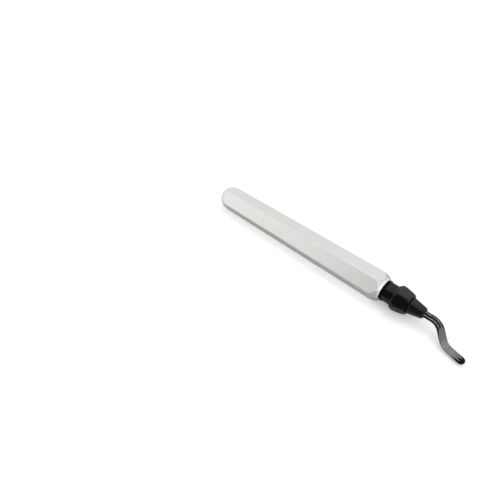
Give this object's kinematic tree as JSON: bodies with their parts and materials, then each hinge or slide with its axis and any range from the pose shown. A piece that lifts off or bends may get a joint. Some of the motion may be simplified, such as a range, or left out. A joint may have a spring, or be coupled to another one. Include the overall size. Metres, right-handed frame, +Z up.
{
  "type": "deburring tool",
  "caption": "Hand deburring tool: hexagonal aluminium handle, black quick-release chuck with a sliding collar, and a swivelling S-shaped blade.",
  "frame": {"origin": "middle of the handle's lowest flat, the face the tool lies on", "axes": "+X along the tool towards the blade, +Z up, out of the face opposite the one it lies on"},
  "size_m": [0.1553, 0.0161, 0.013],
  "materials": {
    "handle_aluminium": "satin anodised",
    "chuck_black": "semi-gloss moulded",
    "bright_steel": "ground",
    "spring_steel": "drawn wire",
    "blade_steel": "black oxide with a ground cutting flat"
  },
  "bodies": {
    "holder": {"handle": "handle_aluminium", "chuck_body": "chuck_black", "clamp_washer": "bright_steel", "spindle": "bright_steel", "collar_spring": "spring_steel", "nose_cone": "chuck_black"},
    "collar": {"release_collar": "chuck_black"},
    "blade": {"blade": "blade_steel"},
    "ball_1": {"locking_ball_1": "bright_steel"},
    "ball_2": {"locking_ball_2": "bright_steel"},
    "ball_3": {"locking_ball_3": "bright_steel"}
  },
  "joints": [
    {"name": "blade_swivel", "type": "hinge", "parent": "holder", "child": "blade", "pos_m": [0.057, 0, 0.0065], "axis": [1, 0, 0], "continuous": true},
    {"name": "collar_slide", "type": "slide", "parent": "holder", "child": "collar", "axis": [-1, 0, 0], "range_m": [0, 0.0024], "stiffness_N_per_m": 400, "springref_m": -0.001, "deforming": ["collar_spring"]},
    {"name": "ball_1_lift", "type": "slide", "parent": "holder", "child": "ball_1", "axis": [0, 0, 1], "range_m": [0, 0.0006]},
    {"name": "ball_2_lift", "type": "slide", "parent": "holder", "child": "ball_2", "axis": [0, -0.866, -0.5], "range_m": [0, 0.0006]},
    {"name": "ball_3_lift", "type": "slide", "parent": "holder", "child": "ball_3", "axis": [0, 0.866, -0.5], "range_m": [0, 0.0006]}
  ],
  "couplings": [
    {"joint": "ball_1_lift", "follows": "collar_slide", "ratio": 0.25},
    {"joint": "ball_2_lift", "follows": "collar_slide", "ratio": 0.25},
    {"joint": "ball_3_lift", "follows": "collar_slide", "ratio": 0.25}
  ]
}
